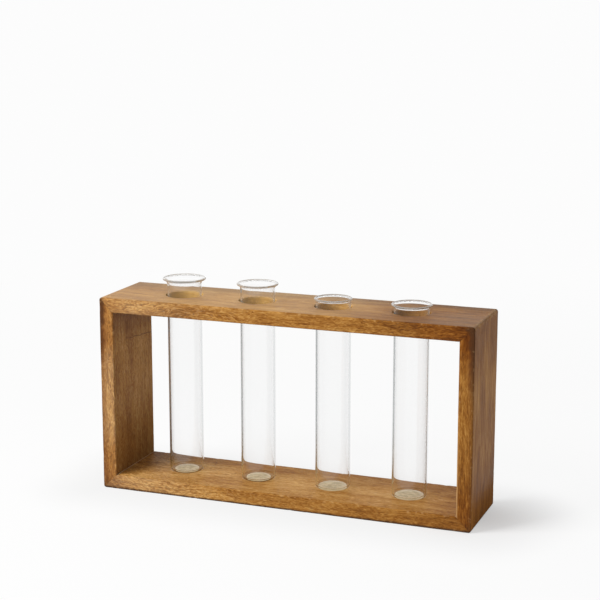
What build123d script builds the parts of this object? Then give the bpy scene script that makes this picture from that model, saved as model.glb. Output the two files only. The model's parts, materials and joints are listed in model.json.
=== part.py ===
from build123d import *
import os
from math import cos, radians, sin, sqrt

# Test tube vase: four mitred boards make an upright open frame. Glass tubes drop through
# holes in the top board and stand on the base board.
# Millimetres. +X runs along the frame, +Y to its back, +Z up. The origin is on the table,
# under the middle of the base board.

# Wooden frame
FRAME_LENGTH = 288.0
FRAME_DEPTH = 66.0
FRAME_HEIGHT = 148.0
BOARD_THICKNESS = 11.0
# Rounding of the four outer corners, and of the long outer and inner edges
CORNER_RADIUS = 2.0
OUTER_ARRIS = 0.8
INNER_ARRIS = 0.6

# Dowels hidden in the mitred corners, two to a corner
DOWEL_DIAMETER = 4.0
DOWEL_SPACING = 40.0
DOWEL_CHAMFER = 0.5
# Wood left between a dowel's hole and the faces of its boards
DOWEL_COVER = 1.6
GLUE_GAP = 0.05
DOWEL_END_GAP = 0.3

# Holes in the top board: distance from a side board's inner face to the nearest tube's axis
END_MARGIN = 44.0
HOLE_CLEARANCE = 1.0
HOLE_ARRIS = 0.5

# Glass tubes
TUBE_DIAMETER = 26.0
TUBE_WALL = 1.1
# How far the rims of the tall and of the short tubes stand above the top board
TALL_RISE = 13.0
SHORT_RISE = 6.2
# Degrees that the wall rolls outwards to the lip, and the round bead that the lip melts to
LIP_TURN = 80.0
LIP_BEAD = 1.5
# Base of a tube: glass under the liquid, rounding outside and inside, hollow underneath
FLOOR_THICKNESS = 1.5
HEEL_RADIUS = 2.4
INNER_HEEL_RADIUS = 1.2
PUSH_UP = 0.5

# The tubes from left to right: rise of the rim, and radius on which the wall rolls to the lip
TUBES = (
    (TALL_RISE, 3.1),
    (TALL_RISE, 2.2),
    (SHORT_RISE, 0.5),
    (SHORT_RISE, 1.4),
)

# Sides, levels and faces of the frame, as signs along X, Z and Y
LEFT = -1
RIGHT = 1
BASE = -1
TOP = 1
FRONT = -1
BACK = 1

inner_length = FRAME_LENGTH - 2 * BOARD_THICKNESS
inner_height = FRAME_HEIGHT - 2 * BOARD_THICKNESS
tube_pitch = (inner_length - 2 * END_MARGIN) / (len(TUBES) - 1)
tube_radius = TUBE_DIAMETER / 2
bore_radius = tube_radius - TUBE_WALL
hole_radius = tube_radius + HOLE_CLEARANCE
lip_sine = sin(radians(LIP_TURN))
lip_cosine = cos(radians(LIP_TURN))

mitre_length = BOARD_THICKNESS * sqrt(2)
dowel_hole_radius = DOWEL_DIAMETER / 2 + GLUE_GAP
dowel_inset = dowel_hole_radius + DOWEL_COVER * sqrt(2)
dowel_hole_depth = mitre_length - 2 * dowel_inset
dowel_length = 2 * (dowel_hole_depth - DOWEL_END_GAP)

os.makedirs("parts", exist_ok=True)


def mitre_plane(side, level):
    """Plane of a corner's mitre: origin at the outer corner, x to the inner corner,
    z towards the horizontal board."""
    outer_corner = (side * FRAME_LENGTH / 2, 0, FRAME_HEIGHT * (1 + level) / 2)
    return Plane(origin=outer_corner, x_dir=(-side, 0, -level), z_dir=(-side, 0, level))


def dowel_plane(side, level, face):
    """Plane square to a dowel at its middle, where it crosses the mitre."""
    mitre = mitre_plane(side, level)
    middle = mitre.origin + mitre.x_dir * (mitre_length - dowel_inset)
    middle += Vector(0, face * DOWEL_SPACING / 2, 0)
    return Plane(origin=middle, x_dir=mitre.x_dir, z_dir=mitre.z_dir)


def cut_mitre(side, level, keep):
    """Cut the board being built along one mitre and drill its two dowel holes."""
    split(bisect_by=mitre_plane(side, level), keep=keep)
    with Locations(dowel_plane(side, level, FRONT), dowel_plane(side, level, BACK)):
        Cylinder(dowel_hole_radius, 2 * dowel_hole_depth, mode=Mode.SUBTRACT)


# The glued-up frame with its corners and edges sanded round, before it is cut into boards
with BuildPart() as frame_blank:
    with BuildSketch(Plane.XZ):
        with Locations((0, FRAME_HEIGHT / 2)):
            RectangleRounded(FRAME_LENGTH, FRAME_HEIGHT, CORNER_RADIUS)
            Rectangle(inner_length, inner_height, mode=Mode.SUBTRACT)
    extrude(amount=FRAME_DEPTH / 2, both=True)
    end_faces = frame_blank.faces().filter_by(Axis.Y)
    outer_edges = [edge for face in end_faces for edge in face.outer_wire().edges()]
    fillet(outer_edges, OUTER_ARRIS)
    end_faces = frame_blank.faces().filter_by(Axis.Y)
    inner_edges = [edge for face in end_faces for wire in face.inner_wires() for edge in wire.edges()]
    fillet(inner_edges, INNER_ARRIS)

# Top board, with a hole for each tube
with BuildPart() as top_board:
    add(frame_blank.part)
    split(bisect_by=Plane.XY.offset(FRAME_HEIGHT / 2), keep=Keep.TOP)
    cut_mitre(LEFT, TOP, Keep.TOP)
    cut_mitre(RIGHT, TOP, Keep.TOP)
    with Locations(Plane.XY.offset(FRAME_HEIGHT)):
        with GridLocations(tube_pitch, 0, len(TUBES), 1):
            Hole(hole_radius, depth=BOARD_THICKNESS)
    fillet(top_board.edges().filter_by(GeomType.CIRCLE).filter_by(Plane.XY), HOLE_ARRIS)
top_board.part.label = "top_board"
export_step(top_board.part, "parts/top_board.step")

# Base board, which the tubes stand on
with BuildPart() as base_board:
    add(frame_blank.part)
    split(bisect_by=Plane.XY.offset(FRAME_HEIGHT / 2), keep=Keep.BOTTOM)
    cut_mitre(LEFT, BASE, Keep.TOP)
    cut_mitre(RIGHT, BASE, Keep.TOP)
base_board.part.label = "base_board"
export_step(base_board.part, "parts/base_board.step")

# Left side board
with BuildPart() as left_side:
    add(frame_blank.part)
    split(bisect_by=Plane.YZ, keep=Keep.BOTTOM)
    cut_mitre(LEFT, TOP, Keep.BOTTOM)
    cut_mitre(LEFT, BASE, Keep.BOTTOM)
left_side.part.label = "left_side"
export_step(left_side.part, "parts/left_side.step")

# Right side board
with BuildPart() as right_side:
    add(frame_blank.part)
    split(bisect_by=Plane.YZ, keep=Keep.TOP)
    cut_mitre(RIGHT, TOP, Keep.BOTTOM)
    cut_mitre(RIGHT, BASE, Keep.BOTTOM)
right_side.part.label = "right_side"
export_step(right_side.part, "parts/right_side.step")

# Dowels that hold the mitred corners together
for level_name, level in (("top", TOP), ("base", BASE)):
    for side_name, side in (("left", LEFT), ("right", RIGHT)):
        for face_name, face in (("front", FRONT), ("back", BACK)):
            with BuildPart(dowel_plane(side, level, face)) as dowel:
                Cylinder(DOWEL_DIAMETER / 2, dowel_length)
                chamfer(dowel.edges().filter_by(GeomType.CIRCLE), DOWEL_CHAMFER)
            dowel.part.label = f"dowel_{level_name}_{side_name}_{face_name}"
            export_step(dowel.part, f"parts/{dowel.part.label}.step")

# Glass tubes: one revolved profile each, with a rolled and beaded lip and a pushed-up base
for number, (rise, lip_roll) in enumerate(TUBES, start=1):
    tube_x = (number - 1) * tube_pitch - (inner_length / 2 - END_MARGIN)
    tube_length = FRAME_HEIGHT - BOARD_THICKNESS + rise
    # The roll starts low enough for the lip's bead to end at the tube's full length
    roll_start = tube_length - LIP_BEAD / 2 - (lip_roll + LIP_BEAD / 2) * lip_sine
    roll_centre = tube_radius + lip_roll
    bead_reach = lip_roll + LIP_BEAD
    lip_under = (roll_centre - lip_roll * lip_cosine, roll_start + lip_roll * lip_sine)
    lip_over = (roll_centre - bead_reach * lip_cosine, roll_start + bead_reach * lip_sine)
    with BuildPart() as glass_tube:
        with BuildSketch(Plane((tube_x, 0, BOARD_THICKNESS), x_dir=(1, 0, 0), z_dir=(0, -1, 0))):
            with BuildLine():
                TangentArc((0, PUSH_UP), (tube_radius - HEEL_RADIUS, 0), tangent=(1, 0))
                TangentArc((tube_radius - HEEL_RADIUS, 0), (tube_radius, HEEL_RADIUS), tangent=(1, 0))
                Line((tube_radius, HEEL_RADIUS), (tube_radius, roll_start))
                TangentArc((tube_radius, roll_start), lip_under, tangent=(0, 1))
                TangentArc(lip_under, lip_over, tangent=(lip_sine, lip_cosine))
                TangentArc((bore_radius, roll_start), lip_over, tangent=(0, 1))
                Line((bore_radius, roll_start), (bore_radius, FLOOR_THICKNESS + INNER_HEEL_RADIUS))
                TangentArc(
                    (bore_radius, FLOOR_THICKNESS + INNER_HEEL_RADIUS),
                    (bore_radius - INNER_HEEL_RADIUS, FLOOR_THICKNESS),
                    tangent=(0, -1),
                )
                Line((bore_radius - INNER_HEEL_RADIUS, FLOOR_THICKNESS), (0, FLOOR_THICKNESS))
                Line((0, FLOOR_THICKNESS), (0, PUSH_UP))
            make_face()
        revolve(axis=Axis((tube_x, 0, 0), (0, 0, 1)))
    glass_tube.part.label = f"glass_tube_{number}"
    export_step(glass_tube.part, f"parts/{glass_tube.part.label}.step")
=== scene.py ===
import json
from math import atan2, cos, pi, radians, sin, sqrt
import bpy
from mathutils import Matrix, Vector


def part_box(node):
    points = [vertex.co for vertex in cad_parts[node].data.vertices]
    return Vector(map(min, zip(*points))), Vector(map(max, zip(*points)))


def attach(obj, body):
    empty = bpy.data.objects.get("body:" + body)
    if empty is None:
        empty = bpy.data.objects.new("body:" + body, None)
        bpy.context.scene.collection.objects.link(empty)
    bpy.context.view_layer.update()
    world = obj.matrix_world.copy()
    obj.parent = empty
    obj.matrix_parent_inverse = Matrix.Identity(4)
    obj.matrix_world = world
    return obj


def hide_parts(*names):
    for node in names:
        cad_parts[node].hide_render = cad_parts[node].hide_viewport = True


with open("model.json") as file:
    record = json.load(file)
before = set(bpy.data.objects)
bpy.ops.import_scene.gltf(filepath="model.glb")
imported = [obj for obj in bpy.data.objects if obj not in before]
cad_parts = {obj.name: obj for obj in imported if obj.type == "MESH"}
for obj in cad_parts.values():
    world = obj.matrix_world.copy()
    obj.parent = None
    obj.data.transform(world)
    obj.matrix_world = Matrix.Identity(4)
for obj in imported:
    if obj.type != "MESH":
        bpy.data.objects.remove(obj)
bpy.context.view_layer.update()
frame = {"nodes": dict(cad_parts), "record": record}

from types import SimpleNamespace

import bmesh
import bpy
from mathutils import Matrix, Vector, noise

# A test tube vase: four mitred boards of oiled hardwood, and four clear glass tubes that stand in it.
# Metres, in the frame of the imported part: +X along the vase, +Y to its back, +Z up.

MM = 0.001

# Sizes of the wooden frame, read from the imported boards
side_low, side_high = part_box("left_side")
top_low, top_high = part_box("top_board")
FRAME_LENGTH = -2 * side_low.x
FRAME_DEPTH = side_high.y - side_low.y
FRAME_HEIGHT = top_high.z
BOARD_THICKNESS = top_high.z - top_low.z
CORNER_RADIUS = 2.0 * MM
OUTER_ARRIS = 0.8 * MM
INNER_ARRIS = 0.6 * MM

# Holes for the tubes, and for the dowels in the mitres
TUBE_RADIUS = 13.0 * MM
HOLE_CLEARANCE = 1.0 * MM
HOLE_RADIUS = TUBE_RADIUS + HOLE_CLEARANCE
HOLE_ARRIS = 0.5 * MM
DOWEL_HOLE_RADIUS = 2.05 * MM
DOWEL_COVER = 1.6 * MM
DOWEL_INSET = DOWEL_HOLE_RADIUS + DOWEL_COVER * sqrt(2)
DOWEL_HOLE_DEPTH = BOARD_THICKNESS * sqrt(2) - 2 * DOWEL_INSET
DOWEL_SPACING = 40.0 * MM

# Wear along the long edges of the boards: its reach, and how deep rubbing and chips go
WEAR_REACH = 1.6 * MM
RUB_DEPTH = 0.28 * MM
CHIP_DEPTH = 0.55 * MM
# Size of the rubbed stretches along, across and through a board, and of the chips
RUB_SIZE = (14 * MM, 70 * MM, 20 * MM)
CHIP_SIZE = 5 * MM
# Noise under which nothing is chipped, and how steeply a chip deepens over it
CHIP_LEAST = 0.42
CHIP_SLOPE = 2.2
# Step in the noise from one board to the next
WEAR_SEED = 7.3

# Glass of the tubes
FLOOR_THICKNESS = 1.5 * MM
HEEL_RADIUS = 2.4 * MM
INNER_HEEL_RADIUS = 1.2 * MM
PUSH_UP = 0.5 * MM
GROUND_RADII = (9.2 * MM, 9.2 * MM, 10.4 * MM, 10.4 * MM)
LIP_TURN = radians(80)
LIP_BEAD = 1.5 * MM
# How far the lip's painted grey, a painted reflection of dark surroundings, reaches from the middle of its
# bead
LIP_PAINTED_GREY_REACH = 0.55 * LIP_BEAD

# Mesh spacing on the boards, and round the holes and tubes
CELL = 2.0 * MM
END_CUTS = 4
ARRIS_STEPS = 4
HOLE_CELLS = 16
DOWEL_HOLE_STEPS = 24
TUBE_STEPS = 96
ARC_STEPS = 8
# Points this close lie at the same level, and points closer still are one
LEVEL_SLACK = 0.1 * MM
MERGE_REACH = 0.001 * MM

# Tones of the hardwood from dark to light
WOOD_TONES = (
    (0.14, (0.085, 0.023, 0.004)),
    (0.38, (0.250, 0.095, 0.014)),
    (0.56, (0.408, 0.193, 0.042)),
    (0.80, (0.620, 0.370, 0.135)),
)
PALE_VEIN = (0.66, 0.45, 0.21, 1.0)
DARK_VEIN = (0.085, 0.030, 0.007, 1.0)
# Colours that the wood turns to in places
# Painted sheen, paling and greying the outer faces
SHEEN_PALED_WOOD = (0.84, 0.72, 0.50, 1.0)
SHEEN_GREYED_WOOD = (0.55, 0.48, 0.38, 1.0)
DARK_FLANK = (0.150, 0.050, 0.012, 1.0)
# Painted shade at the inner foot of the uprights
FOOT_PAINTED_SHADE = (0.085, 0.026, 0.005, 1.0)
# Stain, and painted contact shadow under the base board
STAIN_AND_CONTACT_SHADOW = (0.060, 0.026, 0.010, 1.0)
BORED_WOOD = (0.62, 0.39, 0.12, 1.0)
HANDLED_WOOD = (0.130, 0.050, 0.014, 1.0)
RUBBED_WOOD = (0.66, 0.42, 0.19, 1.0)
CRACK = (0.045, 0.018, 0.006, 1.0)
DRIED_GLUE = (0.66, 0.50, 0.36, 1.0)
DOWEL_WOOD = (0.62, 0.44, 0.24, 1.0)
# Colours that darken the wood: painted shade at the uprights' heads and at the inner backs, a grey cast at
# the outer back, and dark oil
HEAD_PAINTED_SHADE = (0.56, 0.48, 0.44, 1.0)
INNER_BACK_PAINTED_SHADE = (0.72, 0.62, 0.48, 1.0)
OUTER_BACK_GREYING = (0.78, 0.84, 0.97, 1.0)
OIL_SHADE = (0.70, 0.52, 0.28, 1.0)
# The figure is drawn in millimetres
TO_MILLIMETRES = (1 / MM, 1 / MM, 1 / MM)
# How strongly long fibres show on planed wood
PLANED_FIBRES = 0.30
# How far a stain's ragged front wanders
RAGGED_REACH = 5.0 * MM
# Hair crack inside the left board: its height in the middle, its fall to the back and its wander
CRACK_HEIGHT = 111.6 * MM
CRACK_FALL = 0.08
CRACK_WANDER = 2.4 * MM

# Colours of the glow painted into the glass near the base board, higher up in the frame, and over the top
# board
GLOW_NEAR_BASE = (0.72, 0.43, 0.18, 1.0)
GLOW_IN_FRAME = (0.97, 1.0, 1.0, 1.0)
GLOW_OVER_TOP = (0.86, 0.70, 0.54, 1.0)
# Tint of the light that goes through the glass, and of the glass at the heel and the lip: the heel's brown
# is partly painted shade round the tube's foot, and the lip's grey a painted reflection
GLASS_BODY = (0.97, 0.98, 0.98, 1.0)
HEEL_TINT_AND_SHADE = (0.58, 0.50, 0.38, 1.0)
LIP_PAINTED_GREY = (0.62, 0.61, 0.59, 1.0)
# Painted reflection in the ground base: its swirls, and its paler rim as a painted highlight
GROUND_REFLECTION_DARK = (0.56, 0.42, 0.20, 1.0)
GROUND_REFLECTION_LIGHT = (0.86, 0.68, 0.37, 1.0)
GROUND_RIM_HIGHLIGHT = (0.97, 0.79, 0.53, 1.0)

# Looks of the boards. Shift is where a board lies in the figure, in millimetres. Lights are places along
# the board, from its left or lower end, and how light the wood is there, and edge light is how much
# lighter its sawn edges are. Flecks are how flecked its planed faces are, and its sawn edges at the left
# and at the right. Fibres are how strongly long fibres show on its sawn edges, gloss how much light its
# oil mirrors, and painted sheen how far a painted sheen pales its outer face. Oiled ends are how far dark
# oil has drawn in from the left or lower end and from the other end, and how strongly.
BOARD_LOOKS = {
    "top_board": SimpleNamespace(
        upright=False,
        shift=(40.0, 38.0, -128.0),
        lights=((0.0, 0.47), (0.30, 0.505), (0.62, 0.505), (0.85, 0.32), (1.0, 0.28)),
        edge_light=0.0,
        flecks=(0.40, 1.0, 1.15),
        fibres=0.30,
        gloss=0.10,
        painted_sheen=0.13,
        oiled_ends=((10 * MM, 0.6), (34 * MM, 0.8)),
    ),
    "base_board": SimpleNamespace(
        upright=False,
        shift=(700.0, -30.0, 34.0),
        # The lighter wood a tenth of the way along is partly painted light against the left board's shadow
        lights=((0.0, 0.44), (0.06, 0.50), (0.10, 0.60), (0.30, 0.585),
                (0.62, 0.58), (0.89, 0.53), (0.95, 0.43), (1.0, 0.38)),
        edge_light=-0.08,
        flecks=(0.90, 1.0, 0.80),
        fibres=0.30,
        gloss=0.10,
        painted_sheen=0.0,
        oiled_ends=((10 * MM, 0.3), (14 * MM, 0.2)),
    ),
    "left_side": SimpleNamespace(
        upright=True,
        shift=(1500.0, 44.0, -120.0),
        lights=((0.0, 0.51), (0.5, 0.51), (1.0, 0.55)),
        edge_light=-0.05,
        flecks=(0.60, 1.0, 1.0),
        fibres=0.42,
        gloss=0.10,
        painted_sheen=0.0,
        oiled_ends=((30 * MM, 0.8), (34 * MM, 0.85)),
    ),
    "right_side": SimpleNamespace(
        upright=True,
        shift=(2300.0, -52.0, 170.0),
        lights=((0.0, 0.33), (0.10, 0.34), (0.5, 0.45), (0.8, 0.45), (1.0, 0.35)),
        edge_light=0.0,
        flecks=(0.25, 0.6, 0.6),
        fibres=0.60,
        gloss=0.09,
        painted_sheen=0.0,
        oiled_ends=((22 * MM, 0.6), (16 * MM, 0.9)),
    ),
}

# Camera, from the fit of the frame's corners in the photograph
CAMERA_TARGET = Vector((3.74, 0.0, 150.52)) * MM
CAMERA_AZIMUTH = radians(20.762)
CAMERA_ELEVATION = radians(11.792)
CAMERA_DISTANCE = 1156.9 * MM
CAMERA_LENS = 94.95
SENSOR_WIDTH = 36.0

# Brightness of the backdrop as it is seen, and of the light that it sheds
BACKDROP = 0.975
AMBIENT = 0.50
# The one lamp, a softbox to the left in front
KEY_PLACE = Vector((-0.62, -0.58, 0.78))
KEY_AIM = Vector((0.0, 0.0, 0.07))
KEY_SIZE = 0.5
KEY_POWER = 12.3
# Floor, and the point at the vase's right end where its shadow is deepest
FLOOR_HALF = 3.0
FLOOR_CELLS = 8
FLOOR_WHITE = (0.88, 0.88, 0.88, 1.0)
WHITE = (1.0, 1.0, 1.0, 1.0)
SHADOW_PLACE = (145 * MM, 4 * MM, 0.0)

mounts = {mount["name"]: mount for mount in frame["record"]["mounts"]}
tube_numbers = [1, 2, 3, 4]
tube_places = [mounts[f"tube_{number}_bore"]["pos_m"][0] for number in tube_numbers]


# Shader nodes

def add_node(tree, kind, values=None, **settings):
    """A new node with its settings, and each input set to a value or linked to a socket."""
    node = tree.nodes.new(kind)
    for name, value in settings.items():
        setattr(node, name, value)
    for key, value in (values or {}).items():
        if isinstance(value, bpy.types.NodeSocket):
            tree.links.new(value, node.inputs[key])
        else:
            node.inputs[key].default_value = value
    return node


def calc(tree, operation, first, second=0.0):
    """One step of arithmetic on two values."""
    return add_node(tree, "ShaderNodeMath", {0: first, 1: second}, operation=operation).outputs[0]


def product(tree, first, *others):
    """All the values multiplied."""
    for other in others:
        first = calc(tree, "MULTIPLY", first, other)
    return first


def vector_calc(tree, operation, first, second=(0.0, 0.0, 0.0)):
    """One step of arithmetic on two points, and the node that holds its results."""
    return add_node(tree, "ShaderNodeVectorMath", {0: first, 1: second}, operation=operation)


def object_point(tree):
    """The point that is shaded, in the frame of the part."""
    return add_node(tree, "ShaderNodeTexCoord").outputs["Object"]


def attribute(tree, name):
    """A value that the mesh holds at each of its points."""
    return add_node(tree, "ShaderNodeAttribute", attribute_name=name).outputs["Fac"]


def cloud(tree, point, scale, detail=2.0, distortion=0.0):
    """A cloudy pattern that runs from 0 to 1."""
    values = {"Vector": point, "Scale": scale, "Detail": detail, "Distortion": distortion}
    return add_node(tree, "ShaderNodeTexNoise", values).outputs["Fac"]


def grain_cloud(tree, point, along, across, detail, distortion=0.0):
    """A cloudy pattern with so many waves to the millimetre along the grain and across it."""
    drawn_out = vector_calc(tree, "MULTIPLY", point, (along, across, across)).outputs[0]
    return cloud(tree, drawn_out, 1.0, detail, distortion)


def centred(tree, value):
    """A pattern that runs from 0 to 1, moved to run evenly about 0."""
    return calc(tree, "SUBTRACT", value, 0.5)


def ease(tree, value, low, high, to_low=0.0, to_high=1.0):
    """The value eased from one range to another, and held at its ends."""
    values = {"Value": value, "From Min": low, "From Max": high, "To Min": to_low, "To Max": to_high}
    return add_node(tree, "ShaderNodeMapRange", values, interpolation_type="SMOOTHSTEP").outputs[0]


def blend_colour(tree, factor, first, second, blend="MIX"):
    """The first colour, turned to the second or blended with it as far as the factor says."""
    values = {0: factor, 6: first, 7: second}
    return add_node(tree, "ShaderNodeMix", values, data_type="RGBA", blend_type=blend).outputs[2]


def ramp(tree, value, stops):
    """A colour read off a row of stops, each a place from 0 to 1 and a colour."""
    node = add_node(tree, "ShaderNodeValToRGB", {"Fac": value})
    elements = node.color_ramp.elements
    elements[0].position = stops[0][0]
    elements[1].position = stops[-1][0]
    for place, _ in stops[1:-1]:
        elements.new(place)
    for element, (_, colour) in zip(elements, stops):
        element.color = (*colour, 1.0)
    return node.outputs["Color"]


def new_material(name):
    """An empty material."""
    material = bpy.data.materials.new(name)
    material.use_nodes = True
    material.node_tree.nodes.clear()
    return material


def show(tree, shader):
    """Makes a shader the material's surface."""
    add_node(tree, "ShaderNodeOutputMaterial", {"Surface": shader.outputs[0]})


def seen_rays(tree):
    """1 for what is seen, mirrored or seen through, and 0 for the light that falls on surfaces."""
    path = add_node(tree, "ShaderNodeLightPath").outputs
    seen = calc(tree, "MAXIMUM", path["Is Camera Ray"], path["Is Transmission Ray"])
    return calc(tree, "MAXIMUM", seen, path["Is Glossy Ray"])


# Wood

def hardwood_group():
    """Figure of an open-grained brown hardwood on a point in millimetres, with the grain along X.
    Sawn is 1 on the sawn edges, where the grain is short and flecked, and 0 on planed faces.
    Light is how light the wood is, Fibres how strongly long fibres show, and Curl how strongly veins show
    on the sawn edges."""
    group = bpy.data.node_groups.new("hardwood_figure", "ShaderNodeTree")
    face = group.interface
    face.new_socket("Grain Point", in_out="INPUT", socket_type="NodeSocketVector")
    for name in ("Sawn", "Light", "Fibres", "Curl"):
        face.new_socket(name, in_out="INPUT", socket_type="NodeSocketFloat")
    face.new_socket("Colour", in_out="OUTPUT", socket_type="NodeSocketColor")
    face.new_socket("Fibre", in_out="OUTPUT", socket_type="NodeSocketFloat")
    face.new_socket("Height", in_out="OUTPUT", socket_type="NodeSocketFloat")
    given = group.nodes.new("NodeGroupInput").outputs
    point = given["Grain Point"]

    # The grain wanders a few millimetres across the board
    values = {"Vector": point, "Scale": 0.018, "Detail": 2.0}
    sway = add_node(group, "ShaderNodeTexNoise", values).outputs["Color"]
    sway = vector_calc(group, "MULTIPLY", sway, (0.0, 14.0, 14.0)).outputs[0]
    point = vector_calc(group, "ADD", point, sway).outputs[0]

    # From broad to fine: blotches, streaks, fibres, short flecks, curling veins and open pores
    blotch = centred(group, grain_cloud(group, point, 0.022, 0.06, 2.0))
    streak = centred(group, grain_cloud(group, point, 0.011, 0.24, 3.0))
    fibre = centred(group, grain_cloud(group, point, 0.045, 1.0, 3.0))
    fleck = centred(group, grain_cloud(group, point, 0.22, 1.10, 3.0, 1.1))
    wave = calc(group, "SINE", product(group, grain_cloud(group, point, 0.075, 0.27, 1.0, 1.2), 34.0))
    vein = ease(group, wave, 0.45, 1.0)
    pale_vein = ease(group, wave, -0.35, -1.0, 0.0, 0.45)
    pore = ease(group, grain_cloud(group, point, 0.12, 1.6, 1.0), 0.60, 0.72)
    sawn_fleck = product(group, fleck, given["Sawn"])

    light = given["Light"]
    amounts = ((blotch, 0.40), (streak, 0.36), (fibre, given["Fibres"]), (sawn_fleck, 0.80))
    for pattern, amount in amounts:
        light = calc(group, "ADD", light, product(group, pattern, amount))
    colour = ramp(group, light, WOOD_TONES)
    curl = product(group, given["Sawn"], given["Curl"])
    colour = blend_colour(group, product(group, pale_vein, curl), colour, PALE_VEIN)
    dark = calc(group, "MAXIMUM", product(group, vein, curl), product(group, pore, 0.34))
    colour = blend_colour(group, dark, colour, DARK_VEIN)

    height = calc(group, "SUBTRACT", product(group, fibre, 0.8), pore)
    height = calc(group, "ADD", height, sawn_fleck)
    add_node(group, "NodeGroupOutput", {"Colour": colour, "Fibre": fibre, "Height": height})
    return group


def board_spots(tree, upright):
    """Where a point lies on its board: how far it is from the outside of the frame, three rough patterns,
    and masks. Sawn is the front and back edges, planed the broad faces, and outer and inner two of these."""
    point = object_point(tree)
    place = add_node(tree, "ShaderNodeSeparateXYZ", {0: point}).outputs
    spot = SimpleNamespace(point=point, x=place["X"], y=place["Y"], z=place["Z"])
    spot.from_end = calc(tree, "SUBTRACT", FRAME_LENGTH / 2, calc(tree, "ABSOLUTE", spot.x))
    spot.from_top = calc(tree, "SUBTRACT", FRAME_HEIGHT, spot.z)
    spot.from_outside = calc(tree, "MINIMUM", spot.from_top, spot.z)
    spot.depth = spot.from_end if upright else spot.from_outside
    spot.uneven = cloud(tree, point, 140.0, 3.0)
    spot.patchy = cloud(tree, point, 300.0, 3.0)
    spot.ragged = product(tree, spot.uneven, RAGGED_REACH)
    from_edge = calc(tree, "SUBTRACT", FRAME_DEPTH / 2, calc(tree, "ABSOLUTE", spot.y))
    spot.sawn = ease(tree, from_edge, 0.5 * MM, 1.4 * MM, 1.0, 0.0)
    spot.planed = calc(tree, "SUBTRACT", 1.0, spot.sawn)
    near_outside = ease(tree, spot.depth, 0.4 * MM, 1.4 * MM, 1.0, 0.0)
    near_inside = ease(tree, spot.depth, BOARD_THICKNESS - 2.0 * MM, BOARD_THICKNESS - 0.4 * MM)
    spot.outer = product(tree, spot.planed, near_outside)
    spot.inner = product(tree, spot.planed, near_inside)
    return spot


def board_figure(tree, figure, spot, look):
    """The hardwood's figure, turned to the board's length and shifted to the board's own place in it."""
    turn = pi / 2 if look.upright else 0.0
    values = {
        "Vector": spot.point,
        "Location": look.shift,
        "Rotation": (0.0, turn, 0.0),
        "Scale": TO_MILLIMETRES,
    }
    grain = add_node(tree, "ShaderNodeMapping", values).outputs[0]
    if look.upright:
        run = ease(tree, spot.z, 0.0, FRAME_HEIGHT)
    else:
        values = {"Value": spot.x, "From Min": -FRAME_LENGTH / 2, "From Max": FRAME_LENGTH / 2}
        run = add_node(tree, "ShaderNodeMapRange", values).outputs[0]
    light = ramp(tree, run, [(at, (level, level, level)) for at, level in look.lights])
    planed_fleck, left_fleck, right_fleck = look.flecks
    sawn_fleck = ease(tree, spot.x, 0.0, 120 * MM, left_fleck, right_fleck)
    values = {
        "Grain Point": grain,
        "Sawn": ease(tree, spot.sawn, 0.0, 1.0, planed_fleck, sawn_fleck),
        "Light": calc(tree, "ADD", light, product(tree, spot.sawn, look.edge_light)),
        "Fibres": ease(tree, spot.sawn, 0.0, 1.0, PLANED_FIBRES, look.fibres),
        "Curl": ease(tree, spot.x, -100 * MM, 20 * MM, 0.50, 0.08),
    }
    return add_node(tree, "ShaderNodeGroup", values, node_tree=figure)


def paint_sheen(tree, spot, colour, painted_sheen):
    """Painted sheen pales the outer face, least at its right, and the sawn edges at the left end."""
    sheen_face = product(tree, spot.outer, ease(tree, spot.x, 20 * MM, 120 * MM, painted_sheen, 0.0))
    sheen_end = product(tree, spot.sawn, ease(tree, spot.x, -130 * MM, -40 * MM, 0.08, 0.0))
    return blend_colour(tree, calc(tree, "MAXIMUM", sheen_face, sheen_end), colour, SHEEN_PALED_WOOD)


def inner_foot(tree, spot):
    """Mask of the foot of an upright's inner face, where painted shade falls and the wood is dull."""
    return product(tree, spot.inner, ease(tree, spot.z, 12 * MM, 85 * MM, 0.50, 0.0))


def shade_upright(tree, spot, colour):
    """An upright is darker along its outside, and has painted shade inside at its foot and at its head under
    the top board.
    """
    flank = ease(tree, calc(tree, "SUBTRACT", spot.depth, spot.ragged), -0.5 * MM, 4.2 * MM, 0.9, 0.0)
    low_flank = ease(tree, spot.x, 0.0, 50 * MM, 0.55, 0.1)
    rise = ease(tree, spot.z, 70 * MM, 125 * MM, low_flank, 1.0)
    colour = blend_colour(tree, product(tree, flank, rise, spot.sawn), colour, DARK_FLANK)
    # Painted shade at the inner foot
    colour = blend_colour(tree, inner_foot(tree, spot), colour, FOOT_PAINTED_SHADE)
    # Painted shade at the head of the inner face, under the top board
    painted_head_shade = product(tree, spot.inner, ease(tree, spot.z, 105 * MM, 135 * MM))
    return blend_colour(tree, painted_head_shade, colour, HEAD_PAINTED_SHADE, "MULTIPLY")


def crack_left_board(tree, spot, colour):
    """A hair crack runs across the back half of the left board's inner face."""
    course = calc(tree, "SUBTRACT", CRACK_HEIGHT, product(tree, spot.y, CRACK_FALL))
    course = calc(tree, "ADD", course, product(tree, centred(tree, spot.patchy), CRACK_WANDER))
    away = calc(tree, "ABSOLUTE", calc(tree, "SUBTRACT", spot.z, course))
    line = ease(tree, away, 0.15 * MM, 0.7 * MM, 0.55, 0.0)
    at_back = ease(tree, spot.y, -16 * MM, 2 * MM)
    at_left = ease(tree, spot.x, -50 * MM, 0.0, 1.0, 0.0)
    return blend_colour(tree, product(tree, spot.inner, line, at_back, at_left), colour, CRACK)


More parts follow.
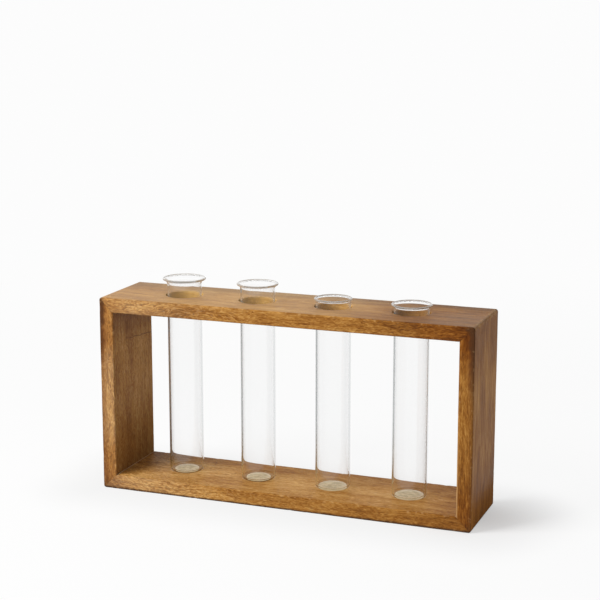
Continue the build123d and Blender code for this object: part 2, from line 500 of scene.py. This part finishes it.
def shade_level(tree, spot, colour):
    """A level board has painted shade towards the back of its inner face, is greyer towards the back of its
    outer face, and has painted sheen greying the right end of its outer face.
    """
    # Painted shade towards the back of the inner face
    painted_back_shade = product(tree, spot.inner, ease(tree, spot.y, 4 * MM, 26 * MM))
    colour = blend_colour(tree, painted_back_shade, colour, INNER_BACK_PAINTED_SHADE, "MULTIPLY")
    # Greyer and a little darker towards the back of the outer face
    outer_back = product(tree, spot.outer, ease(tree, spot.y, 6 * MM, 30 * MM, 0.0, 0.9))
    colour = blend_colour(tree, outer_back, colour, OUTER_BACK_GREYING, "MULTIPLY")
    # Painted sheen greys the right end of the outer face, most at its front
    right_end = ease(tree, spot.x, 80 * MM, 130 * MM, 0.0, 0.13)
    sheen_grey = product(tree, spot.outer, right_end, ease(tree, spot.y, -5 * MM, 20 * MM, 1.0, 0.4))
    return blend_colour(tree, sheen_grey, colour, SHEEN_GREYED_WOOD)


def oil_ends(tree, spot, colour, look):
    """Dark oil has drawn into the sawn edges from the ends of the board."""
    length = FRAME_HEIGHT if look.upright else FRAME_LENGTH
    from_low = spot.z if look.upright else calc(tree, "ADD", spot.x, FRAME_LENGTH / 2)
    from_high = calc(tree, "SUBTRACT", length, from_low)
    front = product(tree, spot.ragged, 1.5)
    oiled = []
    for from_end, (reach, amount) in zip((from_low, from_high), look.oiled_ends):
        away = calc(tree, "SUBTRACT", from_end, front)
        oiled.append(ease(tree, away, reach - 8 * MM, reach + 16 * MM, amount, 0.0))
    oiled = product(tree, spot.sawn, calc(tree, "MAXIMUM", *oiled))
    return blend_colour(tree, oiled, colour, OIL_SHADE, "MULTIPLY")


def stain_and_shade_edges(tree, spot, colour, upright):
    """Stain has gathered along the outer edges, most of all at the upper corners, and in the mitres; along
    the underside of the base board a painted contact shadow darkens the wood."""
    front = product(tree, spot.ragged, ease(tree, spot.z, 60 * MM, FRAME_HEIGHT, 0.55, 1.25))
    edge = ease(tree, calc(tree, "SUBTRACT", spot.from_end, front), -1.4 * MM, 1.8 * MM, 0.75, 0.0)
    edge = product(tree, edge, ease(tree, spot.z, 80 * MM, 130 * MM, 0.3, 1.0))

    from_corner = calc(tree, "ADD", spot.from_end, spot.from_outside)
    front = product(tree, spot.ragged, 3.2 if upright else 2.4)
    corner = ease(tree, calc(tree, "SUBTRACT", from_corner, front), -4.0 * MM, 5.0 * MM, 0.8, 0.0)
    if not upright:
        corner = product(tree, corner, ease(tree, spot.x, -20 * MM, 20 * MM))
    from_mitre = calc(tree, "ABSOLUTE", calc(tree, "SUBTRACT", spot.from_end, spot.from_outside))
    corner = calc(tree, "MAXIMUM", corner, ease(tree, from_mitre, 0.1 * MM, 0.5 * MM, 0.32, 0.0))
    corner = product(tree, corner, ease(tree, spot.z, 20 * MM, 60 * MM, 0.45, 1.0))

    # Painted contact shadow along the underside and the lower edge
    over_sole = calc(tree, "SUBTRACT", spot.z, product(tree, spot.ragged, 0.4))
    contact_shadow = ease(tree, over_sole, -0.2 * MM, 1.3 * MM, 0.96, 0.0)
    stain = product(tree, calc(tree, "MAXIMUM", edge, corner), spot.sawn)
    return blend_colour(tree, calc(tree, "MAXIMUM", stain, contact_shadow), colour, STAIN_AND_CONTACT_SHADOW)


def pale_holes(tree, spot, colour):
    """The walls of the holes are paler, most of all towards the left."""
    drilled = product(tree, attribute(tree, "drilled"), ease(tree, spot.x, -80 * MM, 40 * MM, 0.45, 0.12))
    return blend_colour(tree, drilled, colour, BORED_WOOD)


def rub_edges(tree, spot, colour, upright):
    """The edges are darkened by hands in places, and rubbed down to paler wood in others."""
    wear = attribute(tree, "edge_wear")
    most = ease(tree, spot.z, 20 * MM, 80 * MM, 0.15, 0.45)
    handled = ease(tree, cloud(tree, spot.point, 45.0, 2.0), 0.46, 0.60, 0.0, most)
    colour = blend_colour(tree, product(tree, wear, handled), colour, HANDLED_WOOD)

    rubbed = ease(tree, spot.patchy, 0.54, 0.74, 0.0, 0.5)
    if upright:
        low = ease(tree, spot.z, 40 * MM, 90 * MM, 0.6, 0.0)
        inside = ease(tree, spot.depth, BOARD_THICKNESS - 1.6 * MM, BOARD_THICKNESS - 0.6 * MM)
        at_right = ease(tree, spot.x, 0.0, 50 * MM)
        rubbed = calc(tree, "MAXIMUM", rubbed, product(tree, low, inside, at_right))
    rubbed = product(tree, wear, rubbed)
    from_corner = calc(tree, "ADD", spot.from_end, spot.from_top)
    corner = ease(tree, from_corner, 1.2 * MM, 3.4 * MM, 1.0, 0.0)
    corner = product(tree, spot.planed, corner, ease(tree, spot.uneven, 0.36, 0.66, 0.04, 0.28))
    return blend_colour(tree, calc(tree, "MAXIMUM", rubbed, corner), colour, RUBBED_WOOD)


def glue_line(tree, spot, colour):
    """Dried glue shows as a pale line where the inner faces meet."""
    away = calc(tree, "ABSOLUTE", calc(tree, "SUBTRACT", spot.from_end, BOARD_THICKNESS + 0.3 * MM))
    glue = product(tree, spot.inner, ease(tree, away, 0.1 * MM, 0.5 * MM, 0.55, 0.0))
    return blend_colour(tree, glue, colour, DRIED_GLUE)


def wood_roughness(tree, spot, fibre, upright):
    """Light fibres shine a little more than dark ones, and the feet of the uprights are dull."""
    roughness = ease(tree, fibre, -0.3, 0.3, 0.58, 0.44)
    if upright:
        outer_foot = product(tree, spot.outer, ease(tree, spot.z, 2 * MM, 32 * MM, 0.55, 0.0))
        dull = calc(tree, "MAXIMUM", inner_foot(tree, spot), outer_foot)
        roughness = ease(tree, dull, 0.0, 0.6, roughness, 0.95)
    return roughness


def board_wood(node, figure, look):
    """Oiled hardwood for one board."""
    material = new_material(f"{node}_wood")
    tree = material.node_tree
    spot = board_spots(tree, look.upright)
    wood = board_figure(tree, figure, spot, look).outputs
    colour = paint_sheen(tree, spot, wood["Colour"], look.painted_sheen)
    if look.upright:
        colour = shade_upright(tree, spot, colour)
        colour = crack_left_board(tree, spot, colour)
    else:
        colour = shade_level(tree, spot, colour)
    colour = oil_ends(tree, spot, colour, look)
    colour = stain_and_shade_edges(tree, spot, colour, look.upright)
    colour = pale_holes(tree, spot, colour)
    colour = rub_edges(tree, spot, colour, look.upright)
    if not look.upright:
        colour = glue_line(tree, spot, colour)
    values = {"Strength": 0.4, "Distance": 0.22 * MM, "Height": wood["Height"]}
    bump = add_node(tree, "ShaderNodeBump", values)
    values = {
        "Base Color": colour,
        "Roughness": wood_roughness(tree, spot, wood["Fibre"], look.upright),
        "Normal": bump.outputs[0],
        "IOR": 1.46,
        "Specular IOR Level": look.gloss,
    }
    show(tree, add_node(tree, "ShaderNodeBsdfPrincipled", values))
    return material


def dowel_wood(figure):
    """Plain pale hardwood of the hidden dowels."""
    material = new_material("dowel_wood")
    tree = material.node_tree
    values = {"Vector": object_point(tree), "Scale": TO_MILLIMETRES}
    grain = add_node(tree, "ShaderNodeMapping", values).outputs[0]
    values = {"Grain Point": grain, "Sawn": 0.2, "Light": 0.6, "Fibres": PLANED_FIBRES}
    wood = add_node(tree, "ShaderNodeGroup", values, node_tree=figure)
    colour = blend_colour(tree, 0.65, wood.outputs["Colour"], DOWEL_WOOD)
    show(tree, add_node(tree, "ShaderNodeBsdfPrincipled", {"Base Color": colour, "Roughness": 0.6}))
    return material


# Glass

def clear_glass(name, bending, tint, clearness):
    """Clear glass that lets the lamp through to what stands behind it. Bending is how strongly it bends
    light, tint the colour that it gives to what shows through, and clearness how much shows through."""
    material = new_material(name)
    tree = material.node_tree
    values = {"Base Color": tint, "Roughness": 0.0, "IOR": bending, "Transmission Weight": clearness}
    surface = add_node(tree, "ShaderNodeBsdfPrincipled", values)
    open_air = add_node(tree, "ShaderNodeBsdfTransparent", {"Color": GLASS_BODY})
    # Light that is thrown back and forth in the glass ends up between what lies behind it and a painted
    # glow, coloured by height like the wood and white behind
    height = add_node(tree, "ShaderNodeSeparateXYZ", {0: object_point(tree)}).outputs["Z"]
    over_base = ease(tree, height, 14 * MM, 55 * MM)
    over_top = ease(tree, height, FRAME_HEIGHT, FRAME_HEIGHT + 4 * MM)
    glow_colour = blend_colour(tree, over_base, GLOW_NEAR_BASE, GLOW_IN_FRAME)
    glow_colour = blend_colour(tree, over_top, glow_colour, GLOW_OVER_TOP)
    painted_glow = add_node(tree, "ShaderNodeEmission", {"Color": glow_colour, "Strength": 0.36})
    caught_glow = add_node(tree, "ShaderNodeMixShader", {0: 0.35, 1: open_air.outputs[0], 2: painted_glow.outputs[0]})
    path = add_node(tree, "ShaderNodeLightPath").outputs
    ways = (("Is Reflection Ray", caught_glow), ("Is Diffuse Ray", open_air), ("Is Shadow Ray", open_air))
    for ray, through in ways:
        values = {0: path[ray], 1: surface.outputs[0], 2: through.outputs[0]}
        surface = add_node(tree, "ShaderNodeMixShader", values)
    show(tree, surface)
    return material


def ground_glass_painted_reflection():
    """Glass ground matt, on the underside of a tube's base, coloured as a painted reflection: swirled, and
    paler towards its rim as a painted highlight.
    """
    material = new_material("ground_glass_painted_reflection")
    tree = material.node_tree
    point = object_point(tree)
    swirl = ease(tree, cloud(tree, point, 260.0, 3.0), 0.38, 0.62)
    colour = blend_colour(tree, swirl, GROUND_REFLECTION_DARK, GROUND_REFLECTION_LIGHT)
    most = ease(tree, cloud(tree, point, 120.0, 2.0), 0.35, 0.65, 0.3, 0.9)
    rim = ease(tree, attribute(tree, "ground_reach"), 0.6, 0.95, 0.0, most)
    colour = blend_colour(tree, rim, colour, GROUND_RIM_HIGHLIGHT)
    values = {"Base Color": colour, "Roughness": 0.55, "IOR": 1.5, "Transmission Weight": 0.4}
    show(tree, add_node(tree, "ShaderNodeBsdfPrincipled", values))
    return material


# Boards

def new_piece(name, shape, *materials):
    """A finished mesh object at the origin."""
    mesh = bpy.data.meshes.new(name)
    shape.to_mesh(mesh)
    shape.free()
    piece = bpy.data.objects.new(name, mesh)
    bpy.context.scene.collection.objects.link(piece)
    for material in materials:
        mesh.materials.append(material)
    return piece


def edges_along(shape, axis, least):
    """Edges that run along one axis and are at least that long."""
    return [edge for edge in shape.edges if abs(edge.verts[0].co[axis] - edge.verts[1].co[axis]) > least]


def only(kind, items):
    """The items of one kind among what an operator made."""
    return [item for item in items if isinstance(item, kind)]


def round_long_edges(shape, length):
    """Rounds the two inner and the two outer long edges of a squared board."""
    for level, arris in ((0.0, INNER_ARRIS), (BOARD_THICKNESS, OUTER_ARRIS)):
        corners = {vert for vert in shape.verts if abs(vert.co.z - level) < LEVEL_SLACK
                   and abs(vert.co.y) > FRAME_DEPTH / 2 - LEVEL_SLACK}
        long_edges = [edge for edge in edges_along(shape, 0, length / 2) if corners.issuperset(edge.verts)]
        bmesh.ops.bevel(shape, geom=long_edges, offset=arris, offset_type="OFFSET", affect="EDGES",
                        segments=ARRIS_STEPS, profile=0.5, material=-1)


def board_blank(length):
    """A squared board along X with rounded long edges, open at both ends and cut into even cells.
    Its inner face lies at z = 0 and its outer face at the board's thickness."""
    shape = bmesh.new()
    bmesh.ops.create_cube(shape, size=1.0)
    bmesh.ops.translate(shape, vec=(0.0, 0.0, 0.5), verts=shape.verts)
    bmesh.ops.scale(shape, vec=(length, FRAME_DEPTH, BOARD_THICKNESS), verts=shape.verts)
    round_long_edges(shape, length)
    ends = [face for face in shape.faces if abs(face.normal.x) > 0.9]
    bmesh.ops.delete(shape, geom=ends, context="FACES_ONLY")
    bmesh.ops.subdivide_edges(shape, edges=edges_along(shape, 1, FRAME_DEPTH / 2),
                              cuts=round(FRAME_DEPTH / CELL) - 2, use_grid_fill=True)
    bmesh.ops.subdivide_edges(shape, edges=edges_along(shape, 2, BOARD_THICKNESS / 2),
                              cuts=round(BOARD_THICKNESS / CELL) - 1, use_grid_fill=True)
    cells = round(length / CELL)
    bmesh.ops.subdivide_edges(shape, edges=edges_along(shape, 0, length / 2),
                              cuts=cells - 1, use_grid_fill=True)
    last = [edge for edge in edges_along(shape, 0, length / cells / 2)
            if min(abs(vert.co.x) for vert in edge.verts) > length / 2 - 1.5 * CELL]
    bmesh.ops.subdivide_edges(shape, edges=last, cuts=END_CUTS, use_grid_fill=True)
    return shape


def even_turn(x, y):
    """Angle at which a point on a square's rim goes onto a circle, so that even steps stay even."""
    if abs(x) >= abs(y):
        return pi / 4 * y / x + (0.0 if x > 0 else pi)
    return pi / 2 - pi / 4 * x / y + (0.0 if y > 0 else pi)


def sink_rings(shape, rim, x, profile):
    """Extrudes the rim of a square window ring by ring along a profile of radii and heights."""
    corners = [vert.co for edge in rim for vert in edge.verts]
    half_width = max(abs(corner.x - x) for corner in corners)
    half_depth = max(abs(corner.y) for corner in corners)
    for step, (radius, height) in enumerate(profile):
        made = bmesh.ops.extrude_edge_only(shape, edges=rim)["geom"]
        rim = only(bmesh.types.BMEdge, made)
        for vert in only(bmesh.types.BMVert, made):
            across = vert.co.x - x
            turn = atan2(vert.co.y, across)
            if step == 0:
                turn = even_turn(across / half_width, vert.co.y / half_depth)
            vert.co = (x + radius * cos(turn), radius * sin(turn), height)


def bore_hole(shape, x):
    """Opens a window of cells in both faces of the board and sinks a hole with rounded rims into it."""
    half = HOLE_CELLS * CELL / 2 + CELL / 4
    window = [face for face in shape.faces if abs(face.normal.z) > 0.9
              and abs(face.calc_center_median().x - x) < half and abs(face.calc_center_median().y) < half]
    bmesh.ops.delete(shape, geom=window, context="FACES")
    rims = [edge for edge in shape.edges if edge.is_boundary and abs(edge.verts[0].co.x - x) < half + CELL]
    upper = [edge for edge in rims if edge.verts[0].co.z > BOARD_THICKNESS / 2]
    lower = [edge for edge in rims if edge.verts[0].co.z < BOARD_THICKNESS / 2]
    turns = [pi / 2 * step / ARRIS_STEPS for step in range(ARRIS_STEPS + 1)]
    profile = [(HOLE_RADIUS + HOLE_ARRIS * (1 - sin(turn)), HOLE_ARRIS * (1 - cos(turn))) for turn in turns]
    sink_rings(shape, lower, x, profile)
    profile = [(radius, BOARD_THICKNESS - height) for radius, height in profile]
    sink_rings(shape, upper, x, profile + [(HOLE_RADIUS, HOLE_ARRIS)])
    bmesh.ops.remove_doubles(shape, verts=shape.verts, dist=MERGE_REACH)


def mark_holes(shape, holes):
    """Marks the walls of the holes."""
    layer = shape.verts.layers.float.new("drilled")
    for x in holes:
        for vert in shape.verts:
            if (vert.co.xy - Vector((x, 0.0))).length < HOLE_RADIUS + HOLE_ARRIS / 2:
                vert[layer] = 1.0


def mitre_ends(shape, length):
    """Draws the last cells of the board to 45 degrees and rounds its outer corners."""
    start = length / 2 - 2 * BOARD_THICKNESS
    centre = length / 2 - CORNER_RADIUS
    for vert in shape.verts:
        side = 1 if vert.co.x > 0 else -1
        along = abs(vert.co.x)
        depth = BOARD_THICKNESS - vert.co.z
        if along > start:
            along = start + (along - start) * (length / 2 - depth - start) / (length / 2 - start)
        radius = CORNER_RADIUS - depth
        if radius > 0 and along > centre:
            turn = (along - centre) / radius * pi / 4
            along = centre + radius * sin(turn)
            vert.co.z = BOARD_THICKNESS - CORNER_RADIUS + radius * cos(turn)
        vert.co.x = side * along


def close_mitre(shape, length, side):
    """Closes one end of the board with its mitre face and the two dowel holes in it."""
    rim = [edge for edge in shape.edges if edge.is_boundary and edge.verts[0].co.x * side > 0]
    inward = Vector((-side, 0.0, 1.0)).normalized()
    turn = Vector((0.0, 0.0, 1.0)).rotation_difference(inward).to_matrix().to_4x4()
    inset = DOWEL_INSET / sqrt(2)
    circles = []
    for y in (-DOWEL_SPACING / 2, DOWEL_SPACING / 2):
        place = Vector((side * (length / 2 - BOARD_THICKNESS + inset), y, inset))
        made = bmesh.ops.create_circle(shape, radius=DOWEL_HOLE_RADIUS, segments=DOWEL_HOLE_STEPS,
                                       matrix=Matrix.Translation(place) @ turn)
        circles.append(list({edge for vert in made["verts"] for edge in vert.link_edges}))
    bmesh.ops.triangle_fill(shape, edges=rim + circles[0] + circles[1], use_beauty=True)
    for edge in rim:
        edge.smooth = False
    for circle in circles:
        made = bmesh.ops.extrude_edge_only(shape, edges=circle)["geom"]
        deep = only(bmesh.types.BMVert, made)
        bmesh.ops.translate(shape, vec=inward * DOWEL_HOLE_DEPTH, verts=deep)
        bmesh.ops.contextual_create(shape, geom=only(bmesh.types.BMEdge, made))


def wear_edges(shape, seed):
    """Rubs the long edges of a board down unevenly, knocks small chips out of them, and marks how worn
    each point is."""
    layer = shape.verts.layers.float.new("edge_wear")
    for vert in shape.verts:
        x, y, z = vert.co
        to_side = FRAME_DEPTH / 2 - abs(y)
        for to_face, down in ((BOARD_THICKNESS - z, -1.0), (z, 1.0)):
            near = 1 - max(to_side, to_face) / WEAR_REACH
            if near <= 0:
                continue
            vert[layer] = max(vert[layer], near)
            stretch = Vector((x / RUB_SIZE[0], y / RUB_SIZE[1] + seed, z / RUB_SIZE[2]))
            rub = 0.5 + 0.5 * noise.noise(stretch)
            chip = noise.noise(Vector((x / CHIP_SIZE, seed * 3 + y, down)))
            chip = max(0.0, chip - CHIP_LEAST) * CHIP_SLOPE
            inward = Vector((0.0, -1.0 if y > 0 else 1.0, down)).normalized()
            vert.co += inward * near * (RUB_DEPTH * rub + CHIP_DEPTH * chip)


def board(node, length, place, material, seed, holes):
    """One mitred board, worn along its edges, in the place of a packed board."""
    shape = board_blank(length)
    for x in holes:
        bore_hole(shape, x)
    mark_holes(shape, holes)
    mitre_ends(shape, length)
    for side in (-1, 1):
        close_mitre(shape, length, side)
    wear_edges(shape, seed)
    bmesh.ops.transform(shape, matrix=place, verts=shape.verts)
    bmesh.ops.recalc_face_normals(shape, faces=shape.faces)
    for face in shape.faces:
        face.smooth = True
    piece = new_piece(f"worn_{node}", shape, material)
    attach(piece, "frame")
    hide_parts(node)


# Tubes. Each has four kinds of glass, in this order
CLEAR, HEEL, GROUND, LIP = range(4)


def arc(centre, radius, first, last, steps=ARC_STEPS):
    """Points of an arc from one angle to another."""
    turns = [first + (last - first) * step / steps for step in range(steps + 1)]
    return [(centre[0] + radius * cos(turn), centre[1] + radius * sin(turn)) for turn in turns]


def tube_profile(bore_radius, lip_radius, height):
    """Outline of a tube's glass from the axis under its base, round the lip, to the axis on its floor."""
    roll = (lip_radius - TUBE_RADIUS) / (1 - cos(LIP_TURN)) - LIP_BEAD / 2
    roll_start = height - LIP_BEAD / 2 - (roll + LIP_BEAD / 2) * sin(LIP_TURN)
    roll_centre = (TUBE_RADIUS + roll, roll_start)
    lip_angle = pi - LIP_TURN
    lip_centre = (roll_centre[0] + (roll + LIP_BEAD / 2) * cos(lip_angle),
                  roll_centre[1] + (roll + LIP_BEAD / 2) * sin(lip_angle))
    # The inner wall rolls on a larger arc, up to the bead that the lip melts to
    lip_over = (lip_centre[0] + LIP_BEAD / 2 * cos(lip_angle), lip_centre[1] + LIP_BEAD / 2 * sin(lip_angle))
    reach = lip_over[0] - bore_radius
    rise = lip_over[1] - roll_start
    inner_roll = (reach * reach + rise * rise) / (2 * reach)
    inner_end = atan2(rise, reach - inner_roll)
    inner_heel = (bore_radius - INNER_HEEL_RADIUS, FLOOR_THICKNESS + INNER_HEEL_RADIUS)
    # The base is pushed up to a shallow dome, and rests on the ring round it
    rest = TUBE_RADIUS - HEEL_RADIUS
    dome = (rest * rest + PUSH_UP * PUSH_UP) / (2 * PUSH_UP)
    dome_edge = atan2(dome - PUSH_UP, rest)
    outline = arc((0.0, PUSH_UP - dome), dome, pi / 2, dome_edge)
    outline += arc((rest, HEEL_RADIUS), HEEL_RADIUS, -pi / 2, 0.0)
    outline += arc(roll_centre, roll, pi, lip_angle)
    outline += arc(lip_centre, LIP_BEAD / 2, lip_angle - pi, lip_angle)
    outline += arc((bore_radius + inner_roll, roll_start), inner_roll, inner_end, pi)
    outline += arc(inner_heel, INNER_HEEL_RADIUS, 0.0, -pi / 2)
    outline.append((0.0, FLOOR_THICKNESS))
    return outline


def spin_tube(outline, x, base):
    """The glass of a tube, spun from its outline about its axis."""
    shape = bmesh.new()
    verts = [shape.verts.new((x + radius, 0.0, base + height)) for radius, height in outline]
    edges = [shape.edges.new(pair) for pair in zip(verts, verts[1:])]
    bmesh.ops.spin(shape, geom=verts + edges, cent=(x, 0.0, 0.0), axis=(0.0, 0.0, 1.0), angle=2 * pi,
                   steps=TUBE_STEPS, use_merge=True)
    bmesh.ops.remove_doubles(shape, verts=shape.verts, dist=MERGE_REACH)
    bmesh.ops.recalc_face_normals(shape, faces=shape.faces)
    return shape


def choose_glass(shape, axis, base, ground_radius, bead):
    """Gives the faces of a tube their kind of glass, and marks how far out on the ground base each
    point is."""
    layer = shape.verts.layers.float.new("ground_reach")
    for vert in shape.verts:
        vert[layer] = (vert.co.xy - axis).length / ground_radius
    for face in shape.faces:
        face.smooth = True
        centre = face.calc_center_median()
        out = (centre.xy - axis).length
        faces_down = face.normal.z < -0.05
        face.material_index = CLEAR
        if centre.z < base + PUSH_UP and out < ground_radius:
            face.material_index = GROUND
        elif centre.z < base + HEEL_RADIUS and faces_down:
            face.material_index = HEEL
        elif (Vector((out, centre.z)) - bead).length < LIP_PAINTED_GREY_REACH:
            face.material_index = LIP


def glass_tube(number, glasses):
    """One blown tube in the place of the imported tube."""
    node = f"glass_tube_{number}"
    low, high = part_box(node)
    x = tube_places[number - 1]
    bore_radius = mounts[f"tube_{number}_bore"]["dims"]["r_mm"] * MM
    lip_radius = (high.x - low.x) / 2
    shape = spin_tube(tube_profile(bore_radius, lip_radius, high.z - low.z), x, low.z)
    bead = Vector((lip_radius - LIP_BEAD / 2, high.z - LIP_BEAD / 2))
    choose_glass(shape, Vector((x, 0.0)), low.z, GROUND_RADII[number - 1], bead)
    piece = new_piece(f"tube_{number}_glass", shape, *glasses)
    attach(piece, f"tube_{number}")
    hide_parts(node)


# The vase

inner_half = FRAME_LENGTH / 2 - BOARD_THICKNESS
mid_height = FRAME_HEIGHT / 2
quarter = Matrix.Rotation(pi / 2, 4, "Y")
board_places = {
    "top_board": Matrix.Translation((0.0, 0.0, FRAME_HEIGHT - BOARD_THICKNESS)),
    "base_board": Matrix.Translation((0.0, 0.0, BOARD_THICKNESS)) @ Matrix.Rotation(pi, 4, "X"),
    "left_side": Matrix.Translation((-inner_half, 0.0, mid_height)) @ quarter.inverted(),
    "right_side": Matrix.Translation((inner_half, 0.0, mid_height)) @ quarter,
}
figure = hardwood_group()
for count, (node, look) in enumerate(BOARD_LOOKS.items(), start=1):
    length = FRAME_HEIGHT if look.upright else FRAME_LENGTH
    holes = tube_places if node == "top_board" else []
    board(node, length, board_places[node], board_wood(node, figure, look), count * WEAR_SEED, holes)

pale_wood = dowel_wood(figure)
for name, node in frame["nodes"].items():
    if name.startswith("dowel_"):
        node.data.materials.clear()
        node.data.materials.append(pale_wood)

glasses = (
    clear_glass("clear_glass", bending=1.47, tint=WHITE, clearness=1.0),
    # The heel's brown tint is partly painted shade round the tube's foot
    clear_glass("heel_glass", bending=1.02, tint=HEEL_TINT_AND_SHADE, clearness=1.0),
    ground_glass_painted_reflection(),
    clear_glass("lip_glass_painted_grey", bending=1.47, tint=LIP_PAINTED_GREY, clearness=0.70),
)
for number in tube_numbers:
    glass_tube(number, glasses)


# Floor, light and camera

def white_floor():
    """A wide white floor that fades to the white of the backdrop, keeps the vase's shadow, and has a painted
    shade close beside the vase.
    """
    material = new_material("white_floor")
    tree = material.node_tree
    matt = add_node(tree, "ShaderNodeBsdfDiffuse", {"Color": FLOOR_WHITE})
    point = object_point(tree)
    # The floor is matt at the shadow and glows evenly further out; close beside the vase its glow is dimmed
    # as a painted shade
    away = vector_calc(tree, "DISTANCE", point, SHADOW_PLACE).outputs["Value"]
    near_share = ease(tree, away, 0.0, 85 * MM, 0.42, 0.93)
    far_share = ease(tree, away, 150 * MM, 1000 * MM, 0.0, 0.07)
    share = product(tree, seen_rays(tree), calc(tree, "ADD", near_share, far_share))
    beside = vector_calc(tree, "ABSOLUTE", point).outputs[0]
    beside = vector_calc(tree, "SUBTRACT", beside, (FRAME_LENGTH / 2, FRAME_DEPTH / 2, 0.0)).outputs[0]
    beside = vector_calc(tree, "MAXIMUM", beside).outputs[0]
    beside = vector_calc(tree, "LENGTH", beside).outputs["Value"]
    # Painted shade: the glow is dimmed close beside the vase
    strength = ease(tree, beside, 0.0, 70 * MM, 0.92 * BACKDROP, BACKDROP)
    glow = add_node(tree, "ShaderNodeEmission", {"Color": WHITE, "Strength": strength})
    show(tree, add_node(tree, "ShaderNodeMixShader", {0: share, 1: matt.outputs[0], 2: glow.outputs[0]}))
    shape = bmesh.new()
    bmesh.ops.create_grid(shape, x_segments=FLOOR_CELLS, y_segments=FLOOR_CELLS, size=FLOOR_HALF)
    new_piece("floor", shape, material)


def white_world():
    """A white backdrop for what is seen, mirrored or seen through, and softer light for the surfaces."""
    world = bpy.data.worlds.new("backdrop")
    bpy.context.scene.world = world
    world.use_nodes = True
    tree = world.node_tree
    tree.nodes.clear()
    strength = ease(tree, seen_rays(tree), 0.0, 1.0, AMBIENT, BACKDROP)
    backdrop = add_node(tree, "ShaderNodeBackground", {"Color": WHITE, "Strength": strength})
    add_node(tree, "ShaderNodeOutputWorld", {"Surface": backdrop.outputs[0]})


def key_light():
    """A square softbox that glass and polish don't mirror."""
    lamp = bpy.data.lights.new("key", "AREA")
    lamp.shape = "SQUARE"
    lamp.size = KEY_SIZE
    lamp.energy = KEY_POWER
    box = bpy.data.objects.new("key", lamp)
    box.location = KEY_PLACE
    box.rotation_euler = (KEY_AIM - KEY_PLACE).to_track_quat("-Z", "Y").to_euler()
    box.visible_glossy = False
    box.visible_transmission = False
    bpy.context.scene.collection.objects.link(box)


def photo_camera():
    """The camera where the photograph was taken from."""
    lens = bpy.data.cameras.new("camera")
    lens.lens = CAMERA_LENS
    lens.sensor_width = SENSOR_WIDTH
    lens.sensor_fit = "HORIZONTAL"
    level = cos(CAMERA_ELEVATION)
    away = Vector((sin(CAMERA_AZIMUTH) * level, -cos(CAMERA_AZIMUTH) * level, sin(CAMERA_ELEVATION)))
    camera = bpy.data.objects.new("camera", lens)
    camera.location = CAMERA_TARGET + away * CAMERA_DISTANCE
    camera.rotation_euler = away.to_track_quat("Z", "Y").to_euler()
    bpy.context.scene.collection.objects.link(camera)
    bpy.context.scene.camera = camera


white_floor()
white_world()
key_light()
photo_camera()
bpy.context.scene.view_settings.view_transform = "Standard"
